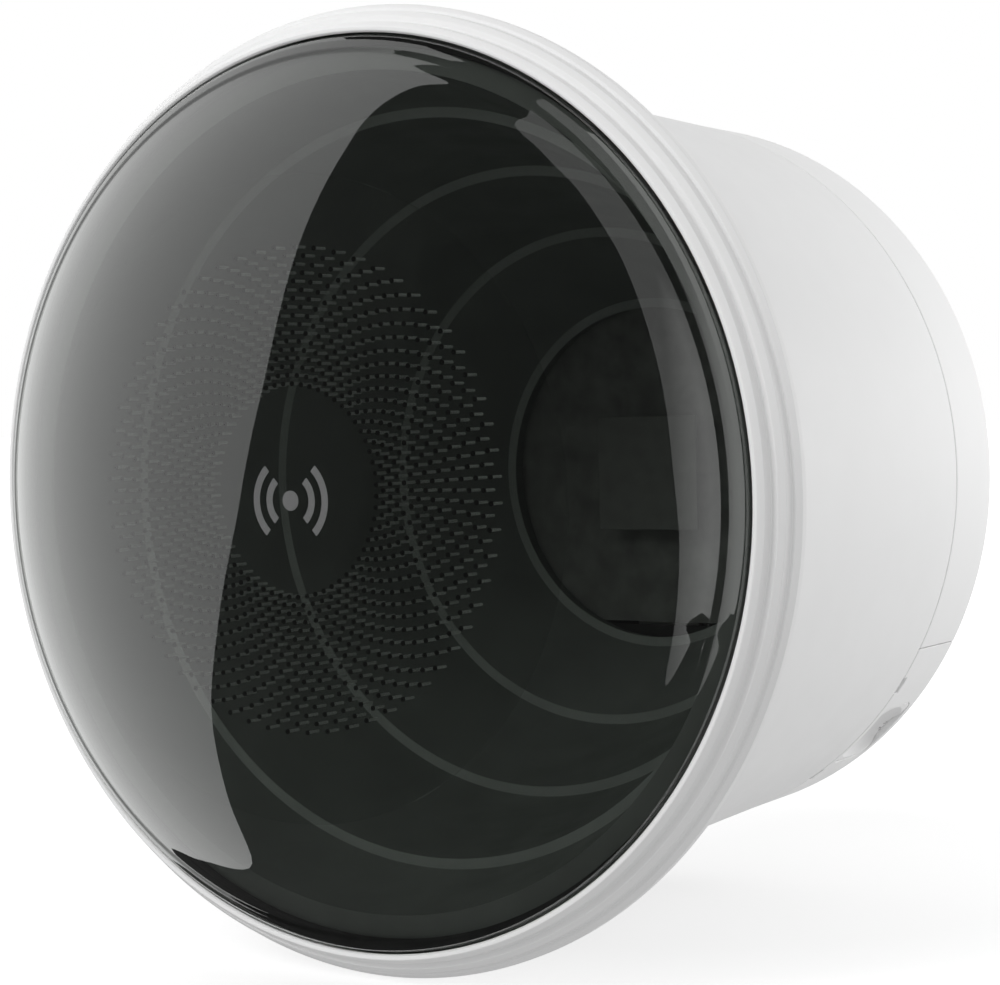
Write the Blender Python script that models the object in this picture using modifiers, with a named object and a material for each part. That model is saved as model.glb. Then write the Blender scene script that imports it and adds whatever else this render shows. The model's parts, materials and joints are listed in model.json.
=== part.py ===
"""Outdoor wireless access point with a stepped horn antenna behind a smoked dome.

Frame: +Z up, the antenna looks along -Y, and the origin is the centre of the flat rear mounting face.
The round parts share one axis, the Y axis. Places along it are given as stations: the distance behind the
rim plane, where the bezel's front lip meets the dome.
"""
import math

import bmesh
import bpy
from mathutils import Matrix, Vector

MM = 0.001

# Driving dimensions
REAR_STATION = 136.5 * MM        # rim plane to the rear mounting face
RIM_RADIUS = 88.4 * MM           # front lip of the bezel
RING_RADIUS = 95.0 * MM          # widest part of the bezel
DOME_SAG = 36.3 * MM             # height of the dome's crown in front of the rim plane
DOME_RADIUS = 126.0 * MM         # spherical radius of the dome's outer face
DOME_WALL = 2.2 * MM
DRUM_RADIUS = 79.5 * MM          # outer radius of the drum at the rear seam
SEAM_STATION = 106.0 * MM        # rear end of the drum
DRUM_WALL = 2.5 * MM
EDGE_STATION = 124.0 * MM        # where the rear cap's straight band ends and its chamfer starts
REAR_FLAT_RADIUS = 65.2 * MM
REAR_WALL = 2.5 * MM
SPLIT_HEIGHT = -37.4 * MM        # height of the seam between the rear cap and the port cover
LENS_STATION = -17.0 * MM        # middle of the lens plate
LENS_RADIUS = 61.2 * MM
LENS_THICKNESS = 1.2 * MM
GAP = 0.3 * MM                   # clearance between pieces that touch

# Horn steps: radius of the bore just behind each ledge, and the ledge's station
HORN_MOUTH = (82.3 * MM, 5.0 * MM)
HORN_STEPS = ((75.0 * MM, 26.2 * MM), (65.3 * MM, 61.9 * MM), (53.4 * MM, 92.0 * MM), (38.2 * MM, 114.9 * MM))
HORN_LEDGE = 1.5 * MM
HORN_WALL = 2.0 * MM
HORN_END = 118.5 * MM
HORN_FLANGE_RADIUS = 48.8 * MM

# Board stack, as stations
BOARD_FRONT = 118.8 * MM
BOARD_BACK = 120.2 * MM
BOARD_RADIUS = 53.0 * MM
BOARD_EDGE = -34.6 * MM
COMPONENT_SEAT = BOARD_BACK + GAP

# Fasteners and inserts, as (x, z) places on the rear
CAP_SCREWS = tuple((x * MM, z * MM) for x, z in ((48, 34), (-48, 34), (-52, -27), (52, -27)))
SQUARE = ((1, 1), (-1, 1), (-1, -1), (1, -1))
BOARD_SCREWS = tuple((x * 32.2 * MM, z * 32.2 * MM) for x, z in SQUARE)
MOUNT_INSERTS = tuple((x * 25.0 * MM, z * 25.0 * MM) for x, z in SQUARE)
LIGHT_PIPES = tuple(x * MM for x in (-9, -3, 3, 9))
LIGHT_PIPE_HEIGHT = 42.0 * MM
VENT_PLACE = (-42.0 * MM, 0.0)

# Port cover furniture
LATCH_ANGLES = {"latch_pad_right": -46.5, "latch_pad_left": -133.5}
LATCH_STATION = 115.0 * MM
LATCH_LENGTH = 13.6 * MM
LATCH_WIDTH = 17.6 * MM
LATCH_FACE = 78.6 * MM           # distance of the pad's face from the axis
NOTCH_ANGLES = (-35.0, -56.0, -124.0, -145.0)
GROMMET_STATION = 115.0 * MM
RESET_PLACE = (16.0 * MM, 124.0 * MM)
GROUND_PLACE = (-26.0 * MM, 127.0 * MM)
HOLE_TOP = -30.0 * MM            # heights between which the liner's floor is drilled
HOLE_BOTTOM = -45.0 * MM

# Boxes that part the rear shell into cap and cover
CUT_REACH = 100.0 * MM
CUT_FRONT = 90.0 * MM
CUT_BACK = 150.0 * MM

ROUND_SIDES = 40                 # sides of the large turned parts
SMALL_SIDES = 12                 # sides of rods, holes and screws
SHARP_ANGLE = math.radians(32)


def clear_scene():
    for old in list(bpy.data.objects):
        bpy.data.objects.remove(old, do_unlink=True)


def make_collection(name):
    group = bpy.data.collections.new(name)
    bpy.context.scene.collection.children.link(group)
    return group


def make_material(name, colour, roughness, metallic=0.0, alpha=1.0):
    finish = bpy.data.materials.new(name)
    finish.use_nodes = True
    shader = finish.node_tree.nodes["Principled BSDF"]
    shader.inputs["Base Color"].default_value = (*colour, 1.0)
    shader.inputs["Roughness"].default_value = roughness
    shader.inputs["Metallic"].default_value = metallic
    shader.inputs["Alpha"].default_value = alpha
    return finish


clear_scene()
PARTS = make_collection("horn_access_point")
CUTTERS = make_collection("cutters")
WHITE = make_material("white_plastic", (0.83, 0.83, 0.83), 0.45)
SMOKE = make_material("smoked_polycarbonate", (0.05, 0.055, 0.05), 0.05, alpha=0.45)
DARK = make_material("dark_horn_plastic", (0.025, 0.027, 0.025), 0.45)
RUBBER = make_material("black_rubber", (0.02, 0.02, 0.02), 0.8)
BOARD = make_material("circuit_board", (0.02, 0.12, 0.06), 0.5)
BLACK = make_material("black_plastic", (0.03, 0.03, 0.03), 0.5)
STEEL = make_material("plated_steel", (0.6, 0.6, 0.6), 0.3, metallic=1.0)
ALUMINIUM = make_material("aluminium", (0.75, 0.75, 0.76), 0.4, metallic=1.0)
BRASS = make_material("brass", (0.72, 0.52, 0.22), 0.35, metallic=1.0)
COPPER = make_material("copper", (0.72, 0.38, 0.24), 0.35, metallic=1.0)
CLEAR = make_material("clear_acrylic", (0.9, 0.92, 0.92), 0.1, alpha=0.35)


def place(x, station, z):
    """World position of a point given by its station behind the rim plane."""
    return Vector((x, station - REAR_STATION, z))


def shade(mesh):
    mesh.shade_smooth()
    mesh.set_sharp_from_angle(angle=SHARP_ANGLE)


def add_object(name, mesh, finish):
    """Link a new object: a part when it has a finish, otherwise a hidden cutter."""
    piece = bpy.data.objects.new(name, mesh)
    if finish is None:
        CUTTERS.objects.link(piece)
        piece.hide_render = True
        piece.display_type = "WIRE"
    else:
        PARTS.objects.link(piece)
        mesh.materials.append(finish)
    return piece


def bake(piece, finish):
    """Turn a piece's modifiers or curve into a plain mesh object of the same name and place."""
    evaluated = piece.evaluated_get(bpy.context.evaluated_depsgraph_get())
    mesh = bpy.data.meshes.new_from_object(evaluated)
    work = bmesh.new()
    work.from_mesh(mesh)
    bmesh.ops.remove_doubles(work, verts=work.verts, dist=0.00001)
    work.to_mesh(mesh)
    work.free()
    mesh.materials.clear()
    shade(mesh)
    name = piece.name
    matrix = piece.matrix_world.copy()
    bpy.data.objects.remove(piece, do_unlink=True)
    mesh.name = name
    solid = add_object(name, mesh, finish)
    solid.matrix_world = matrix
    return solid


def revolve(name, profile, finish, matrix, sides):
    """Spin a profile of (radius, height) points about the local Z axis."""
    mesh = bpy.data.meshes.new(name)
    closed = profile[0][0] > 0.0
    count = len(profile)
    edges = [(i, (i + 1) % count) for i in range(count if closed else count - 1)]
    mesh.from_pydata([(radius, 0.0, height) for radius, height in profile], edges, [])
    piece = bpy.data.objects.new(name, mesh)
    CUTTERS.objects.link(piece)
    piece.matrix_world = matrix
    spin = piece.modifiers.new("spin", "SCREW")
    spin.steps = sides
    spin.render_steps = sides
    spin.use_merge_vertices = True
    spin.merge_threshold = 0.00001
    bpy.context.view_layer.update()
    return bake(piece, finish)


def turned(name, profile, finish=None, x=0.0, z=0.0, sides=ROUND_SIDES):
    """Turned solid about the Y direction from (radius, station) points, front to back down the outside."""
    heights = [(radius, REAR_STATION - station) for radius, station in profile]
    matrix = Matrix.Translation((x, 0.0, z)) @ Matrix.Rotation(math.radians(90), 4, "X")
    return revolve(name, heights, finish, matrix, sides)


def upright(name, profile, finish=None, x=0.0, station=0.0, middle=0.0, sides=SMALL_SIDES):
    """Turned solid about the Z direction from (radius, z) points; its origin is at height middle."""
    heights = [(radius, height - middle) for radius, height in profile]
    return revolve(name, heights, finish, Matrix.Translation(place(x, station, middle)), sides)


def rod(name, radius, front, back, x, z, finish=None, sides=SMALL_SIDES):
    """Cylinder along Y between two stations."""
    return turned(name, [(0.0, front), (radius, front), (radius, back), (0.0, back)], finish, x, z, sides)


def box(name, low, high, finish=None, bevel=0.0):
    """Box between two corners given as (x, station, z)."""
    start = place(*low)
    end = place(*high)
    mesh = bpy.data.meshes.new(name)
    work = bmesh.new()
    bmesh.ops.create_cube(work, size=1.0)
    bmesh.ops.scale(work, vec=end - start, verts=work.verts)
    work.to_mesh(mesh)
    work.free()
    piece = add_object(name, mesh, finish)
    piece.location = (start + end) / 2
    if bevel:
        edge = piece.modifiers.new("rounded_edges", "BEVEL")
        edge.width = bevel
        edge.segments = 2
        edge.limit_method = "ANGLE"
    return piece


def outline_solid(name, points, half_depth, matrix, finish=None):
    """Flat outline in the local XY plane, extruded both ways by half_depth."""
    curve = bpy.data.curves.new(name, "CURVE")
    curve.dimensions = "2D"
    curve.fill_mode = "BOTH"
    curve.extrude = half_depth
    spline = curve.splines.new("POLY")
    spline.points.add(len(points) - 1)
    for point, (across, up) in zip(spline.points, points):
        point.co = (across, up, 0.0, 1.0)
    spline.use_cyclic_u = True
    piece = bpy.data.objects.new(name, curve)
    CUTTERS.objects.link(piece)
    piece.matrix_world = matrix
    bpy.context.view_layer.update()
    return bake(piece, finish)


def combine(target, tool, operation="DIFFERENCE"):
    change = target.modifiers.new(tool.name, "BOOLEAN")
    change.operation = operation
    change.solver = "EXACT"
    change.object = tool


def arc(radius, centre_station, start, end, count):
    """Points on a circle about the axis, from one half-angle to another, as (radius, station)."""
    points = []
    for i in range(count + 1):
        angle = start + (end - start) * i / count
        points.append((radius * math.sin(angle), centre_station - radius * math.cos(angle)))
    return points


def radome():
    """Smoked spherical cap with a short square rim."""
    centre = DOME_RADIUS - DOME_SAG
    inner_radius = DOME_RADIUS - DOME_WALL
    rim_radius = RIM_RADIUS + 0.9 * MM
    rim_back = 3.0 * MM
    inner_rim = 87.1 * MM
    outer_angle = math.asin(rim_radius / DOME_RADIUS)
    inner_angle = math.asin(inner_rim / inner_radius) * 0.995
    outer = arc(DOME_RADIUS, centre, 0.0, outer_angle, 6)
    inner = arc(inner_radius, centre, inner_angle, 0.0, 6)
    turned("radome", outer + [(rim_radius, rim_back), (inner_rim, rim_back)] + inner, SMOKE)


def lens_plate():
    front = LENS_STATION - LENS_THICKNESS / 2
    back = LENS_STATION + LENS_THICKNESS / 2
    rod("lens_plate", LENS_RADIUS, front, back, 0.0, 0.0, SMOKE, ROUND_SIDES)


def bezel_ring():
    """Ring with three rounded ridges outside, a pocket for the dome and a snap lip behind the flange."""
    profile = [
        (88.8 * MM, -0.3 * MM), (89.9 * MM, 0.3 * MM), (91.0 * MM, 1.5 * MM), (91.2 * MM, 2.8 * MM),
        (92.5 * MM, 3.3 * MM), (93.5 * MM, 4.6 * MM), (93.7 * MM, 6.0 * MM), (94.5 * MM, 6.5 * MM),
        (RING_RADIUS, 8.0 * MM), (94.6 * MM, 9.6 * MM), (93.8 * MM, 10.2 * MM), (90.8 * MM, 10.2 * MM),
        (90.8 * MM, 9.1 * MM), (93.0 * MM, 9.1 * MM), (92.8 * MM, 6.2 * MM), (90.8 * MM, 4.4 * MM),
        (89.8 * MM, 4.4 * MM), (89.8 * MM, 1.0 * MM)]
    turned("bezel_ring", profile, WHITE)


def radome_gasket():
    profile = [(89.4 * MM, 3.3 * MM), (89.4 * MM, 4.7 * MM), (86.6 * MM, 4.7 * MM), (86.6 * MM, 3.3 * MM)]
    turned("radome_gasket", profile, RUBBER)


def horn():
    """Conical horn narrowing to the rear in four steps, with a mouth flange and a flange for the board."""
    mouth_radius, mouth = HORN_MOUTH
    flange_back = mouth + 1.6 * MM
    outside = [(90.4 * MM, mouth), (90.4 * MM, flange_back), (mouth_radius + 1.7 * MM, flange_back)]
    inside = []
    for radius, station in HORN_STEPS[:-1]:
        outside.append((radius + HORN_WALL + 0.8 * MM, station))
        inside.append((radius + HORN_LEDGE, station))
        inside.append((radius, station + 0.1 * MM))
    throat_radius, throat = HORN_STEPS[-1]
    outside += [(throat_radius + 3.6 * MM, throat + 1.8 * MM), (HORN_FLANGE_RADIUS, throat + 1.8 * MM),
                (HORN_FLANGE_RADIUS, HORN_END)]
    inside += [(throat_radius + HORN_LEDGE, throat), (throat_radius, throat + 0.1 * MM),
               (throat_radius, HORN_END)]
    piece = turned("horn", outside + inside[::-1] + [(mouth_radius, mouth)], DARK)
    for number, (x, z) in enumerate(BOARD_SCREWS, 1):
        combine(piece, rod(f"horn_boss_{number}", 3.0 * MM, 111.5 * MM, HORN_END - 0.6 * MM, x, z), "UNION")
        combine(piece, rod(f"horn_pilot_{number}", 1.4 * MM, 112.0 * MM, HORN_END + GAP, x, z))


def feed():
    """Square patch in the horn's throat and the two probes that feed it."""
    half = 13.0 * MM
    box("feed_patch", (-half, 112.2 * MM, -half), (half, 113.0 * MM, half), COPPER, 0.2 * MM)
    places = {"feed_probe_horizontal": (8.0 * MM, 0.0), "feed_probe_vertical": (0.0, 8.0 * MM)}
    for name, (x, z) in places.items():
        rod(name, 0.8 * MM, 113.0 * MM + GAP, HORN_END, x, z, BRASS)


def body_shell():
    """Drum with a front flange that carries the horn and a bulkhead near its rear."""
    inner = DRUM_RADIUS - DRUM_WALL
    profile = [
        (92.4 * MM, 6.9 * MM), (92.4 * MM, 8.8 * MM), (87.8 * MM, 8.8 * MM), (83.3 * MM, 22.0 * MM),
        (DRUM_RADIUS, SEAM_STATION), (inner, SEAM_STATION), (inner, 102.6 * MM), (54.0 * MM, 102.6 * MM),
        (54.0 * MM, 100.4 * MM), (inner, 100.4 * MM), (80.9 * MM, 22.0 * MM), (85.3 * MM, 9.2 * MM),
        (85.3 * MM, 6.9 * MM)]
    piece = turned("body_shell", profile, WHITE)
    for number, (x, z) in enumerate(CAP_SCREWS, 1):
        combine(piece, rod(f"body_post_{number}", 4.2 * MM, 101.5 * MM, 117.7 * MM, x, z), "UNION")
        combine(piece, rod(f"body_pilot_{number}", 1.8 * MM, 103.5 * MM, 118.0 * MM, x, z))


def rear_seal():
    outer = 76.5 * MM
    inner = 74.4 * MM
    front = 102.9 * MM
    back = 103.9 * MM
    turned("rear_seal", [(outer, front), (outer, back), (inner, back), (inner, front)], RUBBER)


def rear_shell(name):
    """Full turned rear cap: spigot, straight band, chamfer and flat back, to be cut into cap and cover."""
    profile = [
        (0.0, REAR_STATION - REAR_WALL), (64.2 * MM, REAR_STATION - REAR_WALL), (76.4 * MM, 122.8 * MM),
        (76.4 * MM, 107.2 * MM), (74.4 * MM, 105.8 * MM), (74.4 * MM, 104.2 * MM), (76.6 * MM, 104.2 * MM),
        (76.6 * MM, SEAM_STATION + GAP), (DRUM_RADIUS, SEAM_STATION + GAP), (79.0 * MM, EDGE_STATION),
        (78.3 * MM, 125.4 * MM), (67.4 * MM, 135.4 * MM), (REAR_FLAT_RADIUS, REAR_STATION),
        (0.0, REAR_STATION)]
    return turned(name, profile, WHITE)


def rear_cap():
    """Upper part of the rear shell, with screw sleeves, insert bosses and the vent and light holes."""
    piece = rear_shell("rear_cap")
    low = (-CUT_REACH, CUT_FRONT, -CUT_REACH)
    combine(piece, box("cap_split", low, (CUT_REACH, CUT_BACK, SPLIT_HEIGHT + GAP / 2)))
    for number, (x, z) in enumerate(CAP_SCREWS, 1):
        combine(piece, rod(f"cap_sleeve_{number}", 4.6 * MM, 118.0 * MM, 134.6 * MM, x, z), "UNION")
        combine(piece, rod(f"cap_clearance_{number}", 2.0 * MM, 117.0 * MM, 122.0 * MM, x, z))
        combine(piece, rod(f"cap_counterbore_{number}", 3.4 * MM, 121.5 * MM, 138.0 * MM, x, z))
    for number, (x, z) in enumerate(MOUNT_INSERTS, 1):
        combine(piece, rod(f"insert_boss_{number}", 5.0 * MM, 127.5 * MM, 134.6 * MM, x, z), "UNION")
        combine(piece, rod(f"insert_hole_{number}", 3.5 * MM, 126.0 * MM, 138.0 * MM, x, z))
    for number, x in enumerate(LIGHT_PIPES, 1):
        combine(piece, rod(f"pipe_hole_{number}", 1.8 * MM, 132.0 * MM, 138.0 * MM, x, LIGHT_PIPE_HEIGHT))
    combine(piece, rod("vent_hole", 3.3 * MM, 132.0 * MM, 138.0 * MM, *VENT_PLACE))
    combine(piece, rod("vent_recess", 6.6 * MM, 135.0 * MM, 138.0 * MM, *VENT_PLACE))


def radial_matrix(angle_degrees, radius, station):
    """Frame at a place on the drum whose local Z points outward and whose local Y is world Y."""
    angle = math.radians(angle_degrees)
    spot = place(radius * math.cos(angle), station, radius * math.sin(angle))
    return Matrix.Translation(spot) @ Matrix.Rotation(math.radians(90) - angle, 4, "Y")


def radial_box(name, size, centre_radius, angle, station, finish=None):
    """Box of (tangential, axial, radial) size centred at a radius and angle."""
    mesh = bpy.data.meshes.new(name)
    work = bmesh.new()
    bmesh.ops.create_cube(work, size=1.0)
    bmesh.ops.scale(work, vec=size, verts=work.verts)
    work.to_mesh(mesh)
    work.free()
    piece = add_object(name, mesh, finish)
    piece.matrix_world = radial_matrix(angle, centre_radius, station)
    return piece


def port_cover():
    """Lower part of the rear shell, which slides off to the rear, with windows for the latch pads."""
    piece = rear_shell("port_cover")
    high = (CUT_REACH, CUT_BACK, CUT_REACH)
    combine(piece, box("cover_split", (-CUT_REACH, CUT_FRONT, SPLIT_HEIGHT - GAP / 2), high))
    for name, angle in LATCH_ANGLES.items():
        size = (LATCH_WIDTH + 2 * GAP, LATCH_LENGTH + 2 * GAP, 12.0 * MM)
        combine(piece, radial_box(f"{name}_window", size, LATCH_FACE - 1.0 * MM, angle, LATCH_STATION))
    for number, angle in enumerate(NOTCH_ANGLES, 1):
        size = (4.2 * MM, 3.0 * MM, 3.0 * MM)
        combine(piece, radial_box(f"notch_{number}", size, DRUM_RADIUS, angle, SEAM_STATION + GAP))
    hole = [(0.0, -70.0 * MM), (6.0 * MM, -70.0 * MM), (6.0 * MM, -85.0 * MM), (0.0, -85.0 * MM)]
    combine(piece, upright("grommet_hole", hole, station=GROMMET_STATION))


def latch_pads():
    """Two finger pads in the cover's windows; each is pushed inward, towards the axis."""
    body_height = 3.4 * MM
    flange_height = 1.4 * MM
    scoop_radius = 16.0 * MM
    scoop_depth = 2.3 * MM
    for name, angle in LATCH_ANGLES.items():
        pad = radial_box(name, (LATCH_WIDTH, LATCH_LENGTH, body_height), LATCH_FACE - body_height / 2, angle,
                         LATCH_STATION, WHITE)
        flange_radius = LATCH_FACE - body_height - flange_height / 2 + 0.05 * MM
        size = (LATCH_WIDTH + 3.0 * MM, LATCH_LENGTH + 2.2 * MM, flange_height)
        combine(pad, radial_box(f"{name}_flange", size, flange_radius, angle, LATCH_STATION), "UNION")
        mesh = bpy.data.meshes.new(f"{name}_scoop")
        work = bmesh.new()
        bmesh.ops.create_uvsphere(work, u_segments=24, v_segments=16, radius=scoop_radius)
        work.to_mesh(mesh)
        work.free()
        scoop = add_object(f"{name}_scoop", mesh, None)
        scoop.matrix_world = radial_matrix(angle, LATCH_FACE + scoop_radius - scoop_depth, LATCH_STATION)
        combine(pad, scoop)


def cable_grommet():
    profile = [
        (7.6 * MM, -73.9 * MM), (7.6 * MM, -75.6 * MM), (5.7 * MM, -75.6 * MM), (5.7 * MM, -79.7 * MM),
        (7.2 * MM, -79.7 * MM), (6.4 * MM, -80.8 * MM), (3.4 * MM, -80.8 * MM), (3.4 * MM, -73.9 * MM)]
    upright("cable_grommet", profile, RUBBER, station=GROMMET_STATION)


def port_bay_liner():
    """Stepped wall between the board space and the port bay; the jack, button and ground screw pass it."""
    top = SPLIT_HEIGHT + 2.0 * MM
    back = 133.6 * MM
    wall_front = BOARD_FRONT
    shelf = -50.6 * MM
    front = 103.2 * MM
    points = [
        (back, top), (wall_front, top), (wall_front, shelf), (front, shelf), (front, shelf - 2.0 * MM),
        (wall_front + 1.2 * MM, shelf - 2.0 * MM), (wall_front + 1.2 * MM, SPLIT_HEIGHT),
        (back, SPLIT_HEIGHT)]
    outline = [(station - REAR_STATION, height) for station, height in points]
    along_x = Matrix(((0, 0, 1), (1, 0, 0), (0, 1, 0))).to_4x4()
    piece = outline_solid("port_bay_liner", outline, 75.0 * MM, along_x, BLACK)
    limit = [(0.0, 102.0 * MM), (70.5 * MM, 102.0 * MM), (70.5 * MM, 125.0 * MM), (63.5 * MM, 133.6 * MM),
             (63.5 * MM, 134.0 * MM), (0.0, 134.0 * MM)]
    combine(piece, turned("liner_limit", limit), "INTERSECT")
    half_window = 8.4 * MM
    low = (-half_window, 120.1 * MM, HOLE_BOTTOM)
    combine(piece, box("jack_window", low, (half_window, 140.0 * MM, HOLE_TOP)))
    holes = (("reset_hole", 1.9 * MM, RESET_PLACE), ("ground_hole", 2.1 * MM, GROUND_PLACE))
    for name, radius, (x, station) in holes:
        hole = [(0.0, HOLE_TOP), (radius, HOLE_TOP), (radius, HOLE_BOTTOM), (0.0, HOLE_BOTTOM)]
        combine(piece, upright(name, hole, x=x, station=station))


def main_board():
    """Round board with a flat lower edge, which also closes the horn's throat."""
    flat = math.asin(BOARD_EDGE / BOARD_RADIUS)
    sweep = math.pi - 2 * flat
    count = 40
    points = []
    for i in range(count + 1):
        angle = flat + sweep * i / count
        points.append((BOARD_RADIUS * math.cos(angle), BOARD_RADIUS * math.sin(angle)))
    middle = place(0.0, (BOARD_FRONT + BOARD_BACK) / 2, 0.0)
    matrix = Matrix.Translation(middle) @ Matrix.Rotation(math.radians(90), 4, "X")
    piece = outline_solid("main_board", points, (BOARD_BACK - BOARD_FRONT) / 2, matrix, BOARD)
    for number, (x, z) in enumerate(BOARD_SCREWS, 1):
        combine(piece, rod(f"board_hole_{number}", 1.5 * MM, BOARD_FRONT - 5 * MM, BOARD_BACK + 5 * MM, x, z))


def board_parts():
    """What stands on the rear side of the board."""
    seat = COMPONENT_SEAT
    can_top = seat + 3.2 * MM
    pad_top = can_top + GAP + 1.0 * MM
    box("shield_can", (-17 * MM, seat, -6 * MM), (17 * MM, can_top, 26 * MM), STEEL, 0.6 * MM)
    box("thermal_pad", (-12 * MM, can_top + GAP, -2 * MM), (12 * MM, pad_top, 22 * MM), RUBBER)
    high = (-17 * MM, seat + 6 * MM, -14 * MM)
    box("ethernet_transformer", (-33 * MM, seat, -27 * MM), high, BLACK, 0.4 * MM)
    box("power_inductor", (21 * MM, seat, -24 * MM), (31 * MM, seat + 5 * MM, -14 * MM), BLACK, 0.8 * MM)
    box("reset_switch", (13 * MM, seat, -29 * MM), (19 * MM, seat + 6 * MM, -24 * MM), BLACK, 0.3 * MM)
    heat_sink(pad_top + GAP)


def heat_sink(seat):
    """Finned plate that carries the heat of the shield can towards the rear wall."""
    half_width = 18.0 * MM
    base = 2.0 * MM
    fins = 7
    fin = 1.6 * MM
    pitch = (2 * half_width - fin) / (fins - 1)
    foot = seat - REAR_STATION
    tip = 133.4 * MM - REAR_STATION
    outline = [(half_width, foot), (-half_width, foot)]
    for i in range(fins):
        left = -half_width + i * pitch
        outline += [(left, tip), (left + fin, tip)]
        if i < fins - 1:
            outline += [(left + fin, foot + base), (left + pitch, foot + base)]
    outline_solid("heat_sink", outline, 17.0 * MM, Matrix.Translation((0.0, 0.0, 10.0 * MM)), ALUMINIUM)


def rj45_jack():
    """Socket that opens downward into the port bay."""
    half = 8.0 * MM
    front = COMPONENT_SEAT
    back = front + 13.2 * MM
    mouth = -37.6 * MM
    piece = box("rj45_jack", (-half, front, mouth), (half, back, -16.6 * MM), STEEL)
    combine(piece, box("plug_space", (-5.9 * MM, front + 3.4 * MM, mouth - 1 * MM),
                       (5.9 * MM, back - 1.6 * MM, mouth + 15 * MM)))
    combine(piece, box("clip_space", (-3.1 * MM, front + 1.4 * MM, mouth - 1 * MM),
                       (3.1 * MM, front + 3.6 * MM, mouth + 13 * MM)))


def reset_button():
    """Plunger in the liner's floor, pushed up onto its switch."""
    x, station = RESET_PLACE
    profile = [
        (0.0, -30.2 * MM), (1.3 * MM, -30.2 * MM), (1.3 * MM, -33.0 * MM), (2.6 * MM, -33.0 * MM),
        (2.6 * MM, -34.8 * MM), (1.6 * MM, -34.8 * MM), (1.6 * MM, -37.3 * MM), (0.0, -37.3 * MM)]
    upright("reset_button", profile, BLACK, x, station, -34.0 * MM)


def screw(name, shank_radius, head_radius, tip, seat, head_height, x, z):
    """Screw along Y with its head to the rear and a hexagon socket."""
    head_back = seat + head_height
    chamfer = 0.4 * MM
    profile = [
        (0.0, tip), (shank_radius - chamfer, tip), (shank_radius, tip + 1.0 * MM), (shank_radius, seat),
        (head_radius, seat), (head_radius, head_back - chamfer), (head_radius - chamfer, head_back),
        (0.0, head_back)]
    piece = turned(name, profile, STEEL, x, z, SMALL_SIDES)
    combine(piece, rod(f"{name}_socket", head_radius * 0.5, head_back - head_height * 0.55,
                       head_back + 1 * MM, x, z, None, 6))


def fasteners():
    for number, (x, z) in enumerate(CAP_SCREWS, 1):
        screw(f"cap_screw_{number}", 1.5 * MM, 2.9 * MM, 105.0 * MM, 121.5 * MM + GAP, 2.4 * MM, x, z)
    for number, (x, z) in enumerate(BOARD_SCREWS, 1):
        screw(f"board_screw_{number}", 1.1 * MM, 2.5 * MM, 112.6 * MM, COMPONENT_SEAT, 1.8 * MM, x, z)
    for number, (x, z) in enumerate(MOUNT_INSERTS, 1):
        front = 129.0 * MM
        back = REAR_STATION - 0.1 * MM
        turned(f"mount_insert_{number}",
               [(3.2 * MM, front), (3.2 * MM, back), (2.1 * MM, back), (2.1 * MM, front)],
               BRASS, x, z, SMALL_SIDES)


def ground_screw():
    """Earthing screw that hangs from the liner's floor into the port bay."""
    x, station = GROUND_PLACE
    profile = [
        (0.0, -30.0 * MM), (1.7 * MM, -30.0 * MM), (1.7 * MM, -37.7 * MM), (4.2 * MM, -37.7 * MM),
        (4.2 * MM, -38.6 * MM), (3.5 * MM, -38.6 * MM), (3.5 * MM, -40.6 * MM), (3.0 * MM, -41.0 * MM),
        (0.0, -41.0 * MM)]
    piece = upright("ground_screw", profile, BRASS, x, station)
    reach = 5 * MM
    half_slot = 0.4 * MM
    low = (x - reach, station - half_slot, -42 * MM)
    combine(piece, box("ground_slot", low, (x + reach, station + half_slot, -40 * MM)))


def light_pipes():
    back = REAR_STATION
    for number, x in enumerate(LIGHT_PIPES, 1):
        profile = [(0.0, COMPONENT_SEAT), (1.5 * MM, COMPONENT_SEAT), (1.5 * MM, back - 0.4 * MM),
                   (1.1 * MM, back - 0.1 * MM), (0.0, back - 0.1 * MM)]
        turned(f"light_pipe_{number}", profile, CLEAR, x, LIGHT_PIPE_HEIGHT, SMALL_SIDES)


def vent_plug():
    """Breather plug, sunk flush in the rear face."""
    profile = [
        (0.0, 130.5 * MM), (2.6 * MM, 130.5 * MM), (3.0 * MM, 131.5 * MM), (3.0 * MM, 135.3 * MM),
        (6.2 * MM, 135.3 * MM), (6.2 * MM, 136.0 * MM), (5.8 * MM, 136.4 * MM), (0.0, 136.4 * MM)]
    turned("vent_plug", profile, BLACK, *VENT_PLACE, 24)


def build():
    radome()
    lens_plate()
    bezel_ring()
    radome_gasket()
    horn()
    feed()
    body_shell()
    rear_seal()
    rear_cap()
    port_cover()
    latch_pads()
    cable_grommet()
    port_bay_liner()
    main_board()
    board_parts()
    rj45_jack()
    reset_button()
    fasteners()
    ground_screw()
    light_pipes()
    vent_plug()


build()
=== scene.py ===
"""Looks of the outdoor wireless access point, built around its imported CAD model.

Frame: +Z up, the antenna looks along -Y, and the origin is the centre of the flat rear mounting face.
The round parts share the Y axis. Places along it are given as stations: the distance behind the rim plane,
where the bezel's front lip meets the dome.
"""
import json
import math

import bmesh
import bpy
from mathutils import Matrix, Vector
from mathutils.geometry import delaunay_2d_cdt

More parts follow.
